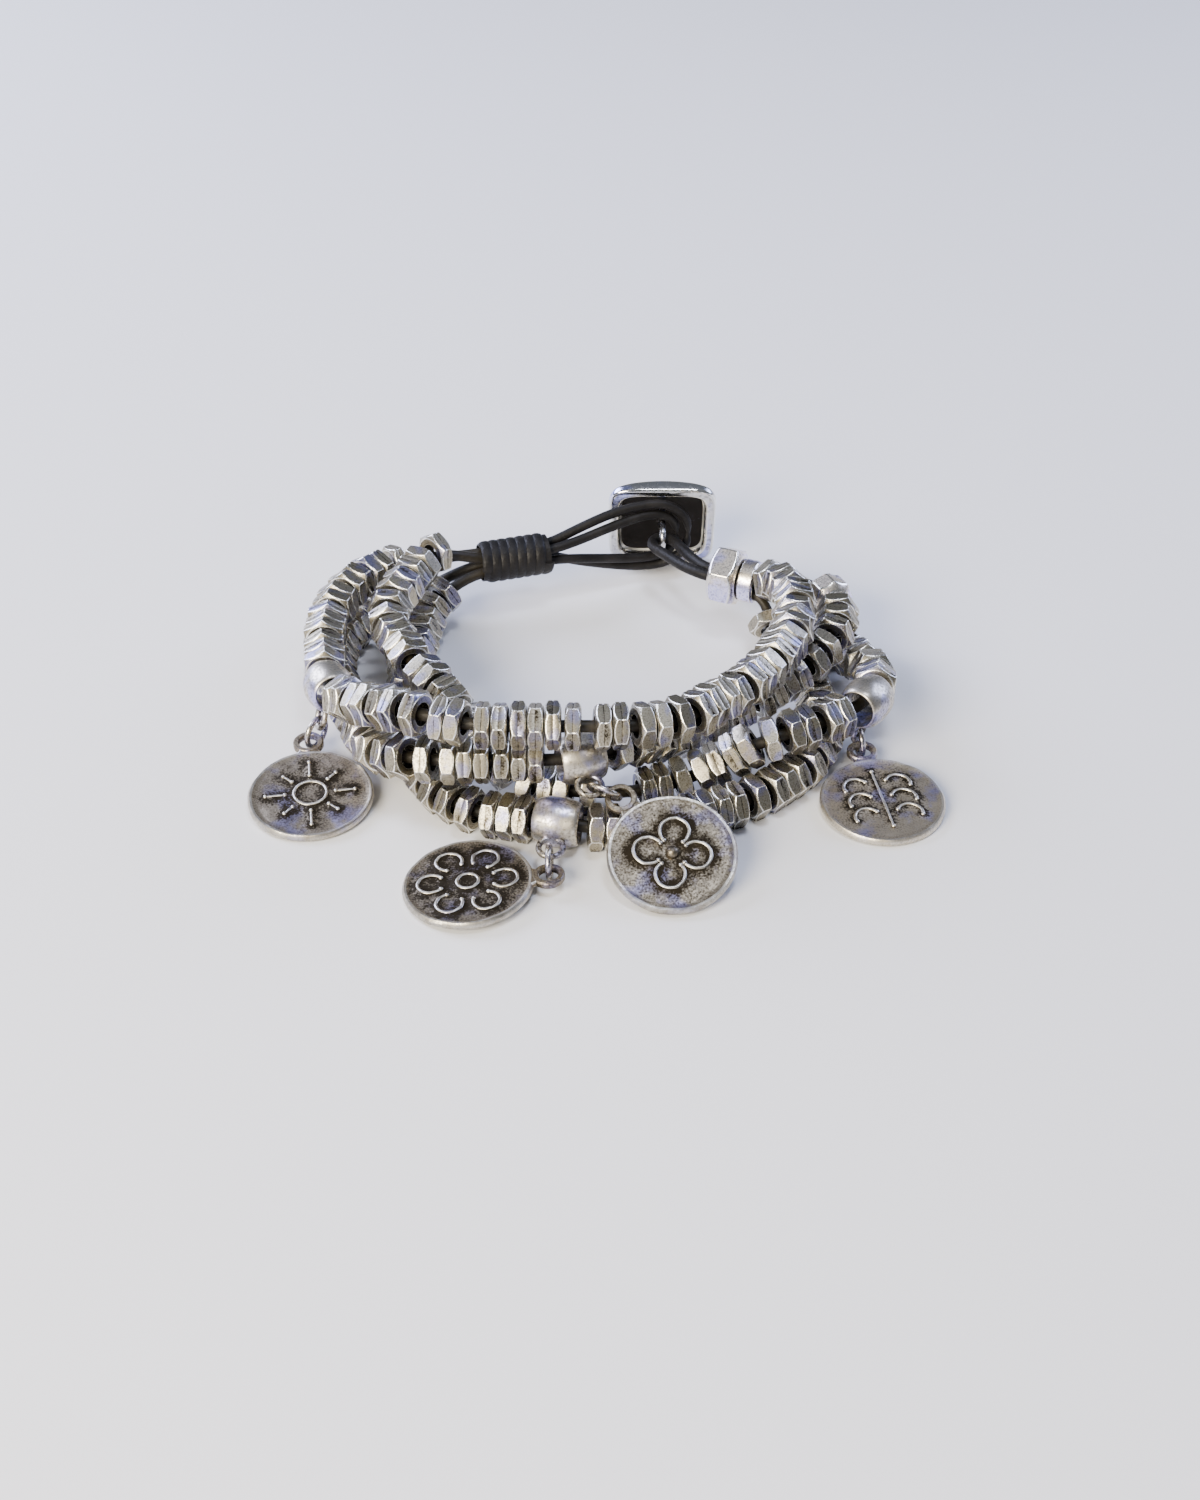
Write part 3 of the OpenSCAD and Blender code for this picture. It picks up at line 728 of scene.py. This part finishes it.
def charm_disc(name, lines, black_reach, seed):
    """The disc: rings of faces, raised at the rim and where the wires are soldered on, and
    blackened as far as black_reach from the wires."""
    bpy.ops.mesh.primitive_circle_add(vertices=112, radius=charm_radius, fill_type="NGON")
    disc = bpy.context.object
    disc.name = name
    bpy.ops.object.mode_set(mode="EDIT")
    bpy.ops.mesh.select_mode(type="FACE")
    bpy.ops.mesh.select_all(action="SELECT")
    for ring_width in (0.25, 0.3, 0.35) + (0.36,) * 19:
        bpy.ops.mesh.inset(thickness=ring_width * mm)
    bpy.ops.mesh.poke()
    bpy.ops.object.mode_set(mode="OBJECT")
    points_a_step = 6
    wires = kdtree.KDTree(sum(len(line) for line in lines) * points_a_step)
    for line in lines:
        for (ax, ay), (bx, by) in zip(line, line[1:]):
            for i in range(points_a_step):
                t = i / points_a_step
                wires.insert((ax + (bx - ax) * t, ay + (by - ay) * t, 0), len(line))
    wires.balance()
    blackened = []
    for point in disc.data.vertices:
        x, y = point.co.x / mm, point.co.y / mm
        gap = wires.find((x, y, 0))[2] * mm
        out = point.co.xy.length / charm_radius
        rim = math.exp(-((out - rim_middle) / rim_spread) ** 2)
        broad_hump = 0.1 * mm * noise.noise(Vector((x * 0.35, y * 0.35, seed)))
        small_hump = 0.05 * mm * noise.noise(Vector((x, y, seed)))
        solder = solder_rise * math.exp(-(gap / solder_reach) ** 2)
        point.co.z = charm_ground + rim_rise * rim + broad_hump + small_hump + solder
        if out > 0.99:
            point.co.z -= edge_fall
        ragged = 1 + 0.006 * noise.noise(Vector((x * 0.5, y * 0.5, seed + 9)))
        point.co.x *= ragged
        point.co.y *= ragged
        blackened.append(math.exp(-(gap / black_reach) ** 2) * (1 - rim))
    mark(disc, "sunk", "POINT", blackened)
    inside_rim = charm_radius - 0.65 * mm
    faces = disc.data.polygons
    mark(disc, "rubbed", "FACE", [rim_rubbed * (f.center.length > inside_rim) for f in faces])
    take_only(disc)
    bpy.ops.object.mode_set(mode="EDIT")
    bpy.ops.mesh.select_all(action="DESELECT")
    bpy.ops.mesh.select_mode(type="EDGE")
    bpy.ops.mesh.select_non_manifold()
    for wall in (0.5 * mm, 0.2 * mm):
        bpy.ops.mesh.extrude_region_move(TRANSFORM_OT_translate={"value": (0, 0, -wall)})
    bpy.ops.transform.resize(value=(0.965, 0.965, 1), center_override=(0, 0, 0))
    bpy.ops.mesh.edge_face_add()
    bpy.ops.mesh.select_mode(type="FACE")
    bpy.ops.mesh.inset(thickness=0.5 * mm)
    bpy.ops.mesh.select_all(action="SELECT")
    bpy.ops.mesh.normals_make_consistent(inside=False)
    bpy.ops.object.mode_set(mode="OBJECT")
    return disc


def ear():
    """The drilled ear, a flat ring with a short neck that flares into the disc."""
    inner, outer, half = ear_hole / 2, ear_hole / 2 + ear_width, ear_thick / 2
    front = [(outer, half * 0.6), (outer - 0.18 * mm, half)]
    front += [(inner + 0.12 * mm, half), (inner, half * 0.7)]
    back = [(r, -z) for r, z in reversed(front)]
    ring = spun("ear", back + front, 40)
    ring.data.transform(Matrix.Translation((ear_reach, 0, 0)))
    bpy.ops.mesh.primitive_cylinder_add(vertices=4, depth=neck_thick, rotation=(0, 0, math.tau / 8))
    neck = bpy.context.object
    bpy.ops.object.transform_apply()
    for corner in neck.data.vertices:
        outward = corner.co.x > 0
        corner.co.x = charm_radius + (neck_half_length if outward else -neck_half_length)
        corner.co.y = math.copysign(neck_narrow if outward else neck_wide, corner.co.y)
    bevelled(neck, 0.2 * mm, 3, 30)
    return [ring, neck]


def relief(lines, seed):
    """The soldered wires, a little uneven in thickness, as round tubes that end in small balls."""
    made = []
    for number, line in enumerate(lines):
        curve = bpy.data.curves.new("wire", "CURVE")
        curve.dimensions = "3D"
        curve.bevel_depth = relief_wire / 2
        curve.bevel_resolution = 3
        curve.use_fill_caps = True
        closed = math.dist(line[0], line[-1]) < 0.01
        points = line[:-1] if closed else line
        spline = curve.splines.new("NURBS")
        spline.points.add(len(points) - 1)
        for i, (x, y) in enumerate(points):
            wobble = 0.06 * noise.noise(Vector((x * 1.3, y * 1.3, seed + number)))
            spline.points[i].co = ((x + wobble) * mm, (y - wobble) * mm, relief_height, 1)
            from_end = min(i, len(points) - 1 - i)
            taper = 1 if closed else min(1, 0.62 + 0.5 * from_end)
            spline.points[i].radius = taper * (1 + 0.12 * noise.noise(Vector((x, y, seed))))
        spline.use_cyclic_u = closed
        spline.use_endpoint_u = not closed
        spline.order_u = 3
        spline.resolution_u = 3
        tube = bpy.data.objects.new("wire", curve)
        bpy.context.collection.objects.link(tube)
        take_only(tube)
        bpy.ops.object.convert(target="MESH")
        made.append(bpy.context.object)
        if not closed:
            for x, y in (line[0], line[-1]):
                made.append(ball(x * mm, y * mm, relief_wire * 0.62, 16, 10))
    for piece in made:
        top = relief_height + 0.13 * mm
        foot = relief_height + 0.05 * mm
        faces, corners = piece.data.polygons, piece.data.vertices
        mark(piece, "rubbed", "FACE", [relief_rubbed * (f.center.z > top) for f in faces])
        mark(piece, "sunk", "POINT", [relief_dark * (v.co.z < foot) for v in corners])
    return made


def ball(x, y, radius, segments, rings):
    """A silver ball soldered on the disc at the height of the wires."""
    bpy.ops.mesh.primitive_uv_sphere_add(
        segments=segments, ring_count=rings, radius=radius, location=(x, y, relief_height)
    )
    piece = bpy.context.object
    bpy.ops.object.transform_apply()
    return piece


charm_silver = silver(
    "charm silver",
    bright=(0.36, 0.31, 0.23),
    dark=(0.024, 0.019, 0.012),
    film=0.2,
    roughness=0.4,
    scale=560,
    bump_depth=0.07 * mm,
    crevice=1.0 * mm,
)
for k, motif, charm_tone, black_reach in (
    (1, sun, -1.4, 1.4),
    (2, quatrefoil, -4.6, 1.2),
    (3, sprig, 4.6, 0.85),
    (4, rosette, -2.6, 1.6),
):
    lines = motif()
    disc = charm_disc(f"charm_disc_{k}", lines, black_reach * mm, seed=5 * k)
    pieces = ear() + relief(lines, seed=7 * k)
    if motif is quatrefoil:
        pieces.append(ball(0, 0, boss_radius, 24, 14))
    take_only(*pieces, disc)
    bpy.ops.object.join()
    bpy.ops.object.shade_smooth_by_angle(angle=math.radians(40))
    shade(disc, charm_tone)
    middle, facing, way = (Vector(v) for v in charm_lies[k])
    facing.normalize()
    way = (way - facing * way.dot(facing)).normalized()
    disc.data.transform(seat(middle * mm, facing, way))
    wear(disc, charm_silver)
    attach(disc, "root")
    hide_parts(f"charm_{k}")


# The beads that gather the cords: a thin round ring and a thick hexagonal bead at the right, and a
# small eight-sided bead on one strand. All are polished castings with rounded edges.

def prism_lie(node):
    """Reads from the frame a straight bead's middle, its axis and the way to one of its flats."""
    faces = node.data.polygons
    normals = np.array([f.normal for f in faces])
    areas = np.array([f.area for f in faces])
    centres = np.array([f.center for f in faces])
    spread, ways = np.linalg.eigh((normals * areas[:, None]).T @ normals)
    axis = Vector(ways[:, 0] if spread[1] - spread[0] > spread[2] - spread[1] else ways[:, 2])
    sides = {}
    for f in faces:
        if abs(f.normal.dot(axis)) < 0.05:
            key = tuple(round(c, 2) for c in f.normal)
            sides[key] = sides.get(key, Vector()) + f.normal * f.area
    flat = max(sides.values(), key=lambda v: v.length).normalized()
    flat = (flat - axis * flat.dot(axis)).normalized()
    return Vector((centres * areas[:, None]).sum(axis=0) / areas.sum()), axis, flat


cast_silver = silver(
    "cast silver",
    bright=(0.97, 0.87, 0.72),
    dark=(0.08, 0.066, 0.05),
    film=0.08,
    roughness=0.28,
    scale=420,
    bump_depth=0.07 * mm,
    crevice=1.2 * mm,
)
cast_sizes = {
    "end": dict(
        sides=6,
        across=8 * mm,
        length=4.4 * mm,
        bore=5.4 * mm,
        face=3.3 * mm,
        drop=0.8 * mm,
        rounding=0.22 * mm,
    ),
    "ring": dict(
        sides=0,
        across=6.4 * mm,
        length=2.5 * mm,
        bore=5.4 * mm,
        face=2.85 * mm,
        drop=0.3 * mm,
        rounding=0.2 * mm,
    ),
    "faceted": dict(
        sides=8,
        across=5.73 * mm,
        length=4.6 * mm,
        bore=3.2 * mm,
        face=2 * mm,
        drop=1.05 * mm,
        rounding=0.25 * mm,
    ),
}
for name, bead_sizes in cast_sizes.items():
    bead = milled_bead(name, **bead_sizes)
    bead.data.transform(seat(*prism_lie(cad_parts[f"{name}_bead"])))
    wear(bead, cast_silver)
    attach(bead, "root")
    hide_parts(f"{name}_bead")


# The binding: flat black leather cord wound seven times round the four strand cords where they end
# at the left, over a thin leather sleeve. It holds them together with the loop's cords.

binding_start = Vector((-17.8, 28.9, 8.5)) * mm
binding_way = Vector((5, 1.5, 0)).normalized()
binding_length = 11 * mm
binding_turns = 7
steps_a_turn = 24
winding_radius = 2.86 * mm
winding_half_width = 0.84 * mm
winding_half_thick = 0.34 * mm
winding_sway = 0.08 * mm
sleeve_inside = 2.66 * mm
sleeve_outside = 2.84 * mm
sleeve_margin = 0.3 * mm


def swept(name, points, ways, half_width, half_thick, sides):
    """A flat cord: an oval section carried along points, its thin way along ways."""
    verts, faces = [], []
    for i, (point, out) in enumerate(zip(points, ways)):
        ahead = (points[min(i + 1, len(points) - 1)] - points[max(i - 1, 0)]).normalized()
        across = ahead.cross(out).normalized()
        for k in range(sides):
            a = math.tau * k / sides
            verts.append(point + across * half_width * math.cos(a) + out * half_thick * math.sin(a))
    for i in range(len(points) - 1):
        for k in range(sides):
            a, b = i * sides + k, i * sides + (k + 1) % sides
            faces.append((a, b, b + sides, a + sides))
    faces.append(tuple(range(sides)))
    faces.append(tuple(range(len(verts) - 1, len(verts) - 1 - sides, -1)))
    mesh = bpy.data.meshes.new(name)
    mesh.from_pydata(verts, [], faces)
    piece = bpy.data.objects.new(name, mesh)
    bpy.context.collection.objects.link(piece)
    take_only(piece)
    bpy.ops.object.mode_set(mode="EDIT")
    bpy.ops.mesh.select_all(action="SELECT")
    bpy.ops.mesh.normals_make_consistent(inside=False)
    bpy.ops.object.mode_set(mode="OBJECT")
    bpy.ops.object.shade_smooth_by_angle(angle=math.radians(50))
    return piece


black_leather = leather(
    "black leather",
    colour=(0.006, 0.0055, 0.0055),
    rubbed=(0.015, 0.014, 0.014),
    grain=2600,
    depth=0.08 * mm,
    gloss=0.2,
)
side_way = binding_way.cross(Vector((0, 0, 1))).normalized()
up_way = side_way.cross(binding_way).normalized()
pitch = binding_length / binding_turns
steps = steps_a_turn * binding_turns
winding, outward = [], []
for i in range(steps + 1):
    turn = math.tau * i / steps_a_turn
    out = side_way * math.cos(turn) + up_way * math.sin(turn)
    along = 0.5 * pitch + (binding_length - pitch) * i / steps
    sway = winding_sway * math.sin(i * 0.31)
    winding.append(binding_start + binding_way * (along + sway) + out * winding_radius)
    outward.append(out)
wound = swept("wound_binding", winding, outward, winding_half_width, winding_half_thick, 12)
sleeve_profile = [(sleeve_inside, sleeve_margin), (sleeve_outside, sleeve_margin)]
sleeve_profile += [(r, binding_length - z) for r, z in reversed(sleeve_profile)]
sleeve = spun("sleeve", sleeve_profile, 32)
sleeve.data.transform(seat(binding_start, binding_way, up_way))
take_only(sleeve, wound)
bpy.ops.object.join()
wear(wound, black_leather)
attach(wound, "root")
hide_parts("binding")


# The clasp's cords: the loop, two black cords side by side out of the binding and round the
# button's shank, and the thicker cord that holds the button.

for node_name, name, swell in (
    ("clasp_loop_inner", "loop_inner", 0.05 * mm),
    ("clasp_loop_outer", "loop_outer", 0.05 * mm),
    ("button_cord", "cord_to_button", 0.06 * mm),
):
    cord = rounded_cord(node_name, name, swell)
    wear(cord, black_leather)


# The button: a square, cushion-shaped shell of cast silver, polished outside, with a thick bright
# rim and a wire shank soldered in its hollow.

button_middle = Vector((10.1, 40.7, 7.85)) * mm
button_lean = math.radians(18)
button_side = 16.5 * mm
button_rim = 1.6 * mm
button_corner = 6
button_ball = 26 * mm
button_rise = 3.6 * mm
button_rounding = 0.45 * mm
wall_height = 0.8 * mm
# How dark the inner walls and the deep hollow are made: blackened oxide together with painted shade
# inside the shell.
wall_shade_and_oxide = 0.3
hollow_shade_and_oxide = 1.8
shank_wire = 1 * mm

# The hollow's steps inward from the rim: how much each shrinks and how far it rises, in millimetres
hollow_steps = ((1, 0.9), (0.94, 0.3), (0.75, 0.35), (0.66, 0.2), (0.5, 0.12))

# The shank's wire: a half-round bend between two straight legs that run into the shell, in millimetres
shank_bend = 1.6
shank_leg = 3.4
shank_root = 2.2


def cushion_shell(name):
    """A square drawn round at its corners and domed, its walls, rim and hollow drawn out of its edge."""
    bpy.ops.mesh.primitive_grid_add(x_subdivisions=28, y_subdivisions=28, size=2)
    shell = bpy.context.object
    shell.name = name
    half = button_side / 2
    for point in shell.data.vertices:
        x, y = point.co.x, point.co.y
        size, length = max(abs(x), abs(y)), math.hypot(x, y)
        if length > 0:
            x, y = x / length, y / length
            roundness = abs(x) ** button_corner + abs(y) ** button_corner
            reach = size * half / roundness ** (1 / button_corner)
            x, y = x * reach, y * reach
        point.co = (x, y, dome_height(x, y))
    bpy.ops.object.mode_set(mode="EDIT")
    bpy.ops.mesh.select_mode(type="EDGE")
    bpy.ops.mesh.select_all(action="DESELECT")
    bpy.ops.mesh.select_non_manifold()
    bpy.ops.mesh.extrude_edges_move()
    bpy.ops.transform.resize(value=(1, 1, 0), center_override=(0, 0, 0))
    bpy.ops.mesh.extrude_edges_move()
    inner = 1 - button_rim / half
    bpy.ops.transform.resize(value=(inner, inner, 1), center_override=(0, 0, 0))
    for scale, rise in hollow_steps:
        bpy.ops.mesh.extrude_edges_move(TRANSFORM_OT_translate={"value": (0, 0, rise * mm)})
        bpy.ops.transform.resize(value=(scale, scale, 1), center_override=(0, 0, 0))
    bpy.ops.mesh.edge_face_add()
    bpy.ops.mesh.select_all(action="SELECT")
    bpy.ops.mesh.normals_make_consistent(inside=False)
    bpy.ops.object.mode_set(mode="OBJECT")
    bevelled(shell, button_rounding, 4, 35)
    # Darkens the hollow inside the rim, the deep part most: partly blackened oxide, partly painted
    # shade.
    values = []
    for f in shell.data.polygons:
        within = f.normal.z < 0.5 and 0.1 * mm < f.center.z < dome_height(*f.center.xy) - 0.4 * mm
        within = within and max(abs(f.center.x), abs(f.center.y)) < half * inner
        values.append(0 if not within else wall_shade_and_oxide if f.center.z < wall_height else hollow_shade_and_oxide)
    mark(shell, "sunk", "FACE", values)
    return shell


def dome_height(x, y):
    """How high the button's domed front lies over its back at (x, y)."""
    return math.sqrt(button_ball ** 2 - x * x - y * y) - button_ball + button_rise


button = cushion_shell("button_shell")
shank_points = [Vector((0, -2 * shank_bend, shank_root)) * mm]
for i in range(25):
    turn = math.pi * i / 24
    y = -shank_bend - shank_bend * math.cos(turn)
    z = -shank_leg - shank_bend * math.sin(turn)
    shank_points.append(Vector((0, y, z)) * mm)
shank_points.append(Vector((0, 0, shank_root)) * mm)
shank_ways = [Vector((1, 0, 0))] * len(shank_points)
shank = swept("shank", shank_points, shank_ways, shank_wire / 2, shank_wire / 2, 12)
take_only(shank, button)
bpy.ops.object.join()
upright = Matrix.Rotation(button_lean - math.pi / 2, 4, "X")
button.data.transform(Matrix.Translation(button_middle) @ upright)
button_silver = silver(
    "button silver",
    bright=(0.68, 0.68, 0.68),
    dark=(0.02, 0.018, 0.017),
    film=0.04,
    roughness=0.2,
    scale=220,
    bump_depth=0.03 * mm,
    crevice=1.5 * mm,
)
wear(button, button_silver)
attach(button, "root")
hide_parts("button")


# The stage: a pale sheet of paper that the bracelet lies on, four soft lamps, a dim sky and the
# camera, which looks from the photograph's angle. None of it is part of the bracelet.

bpy.ops.mesh.primitive_plane_add(size=3)
floor = bpy.context.object
floor.name = "floor"
paper = bpy.data.materials.new("pale paper")
paper.use_nodes = True
paper.node_tree.nodes["Principled BSDF"].inputs["Base Color"].default_value = (0.72, 0.72, 0.73, 1)
paper.node_tree.nodes["Principled BSDF"].inputs["Roughness"].default_value = 0.9
wear(floor, paper)


def soft_light(name, place, size, power, colour):
    """A soft oval lamp that faces the bracelet's middle."""
    light = bpy.data.lights.new(name, "AREA")
    light.shape = "ELLIPSE"
    light.size, light.size_y = size
    light.energy = power
    light.color = colour
    lamp = bpy.data.objects.new(name, light)
    bpy.context.collection.objects.link(lamp)
    lamp.location = place
    lamp.rotation_euler = (Vector((0, 0, 0)) - lamp.location).to_track_quat("-Z", "Y").to_euler()


soft_light(
    "window", place=(-0.45, 0.3, 0.34), size=(0.42, 0.42), power=7.8, colour=(0.68, 0.73, 1.0)
)
soft_light(
    "far_window", place=(0.5, 0.28, 0.3), size=(0.35, 0.35), power=3, colour=(0.55, 0.63, 1.0)
)
soft_light(
    "front", place=(-0.31, -0.45, 0.32), size=(0.42, 0.3), power=10, colour=(1.0, 0.9, 0.74)
)
soft_light(
    "top", place=(0.08, -0.06, 0.6), size=(0.16, 0.16), power=2, colour=(0.8, 0.85, 1.0)
)

world = bpy.data.worlds.new("studio")
bpy.context.scene.world = world
world.use_nodes = True
world.node_tree.nodes["Background"].inputs[0].default_value = (0.72, 0.78, 0.9, 1)
world.node_tree.nodes["Background"].inputs[1].default_value = 0.22

camera_angle = math.radians(36.5)
camera_distance = 0.29
looks_at = Vector((0.5, -6.9, 0)) * mm
lens = bpy.data.cameras.new("camera")
lens.lens = 50
lens.sensor_width = 36
lens.clip_start = 0.01
lens.clip_end = 20
camera = bpy.data.objects.new("camera", lens)
bpy.context.collection.objects.link(camera)
back = Vector((0, -math.cos(camera_angle), math.sin(camera_angle)))
camera.location = looks_at + back * camera_distance
camera.rotation_euler = (math.pi / 2 - camera_angle, 0, 0)
bpy.context.scene.camera = camera
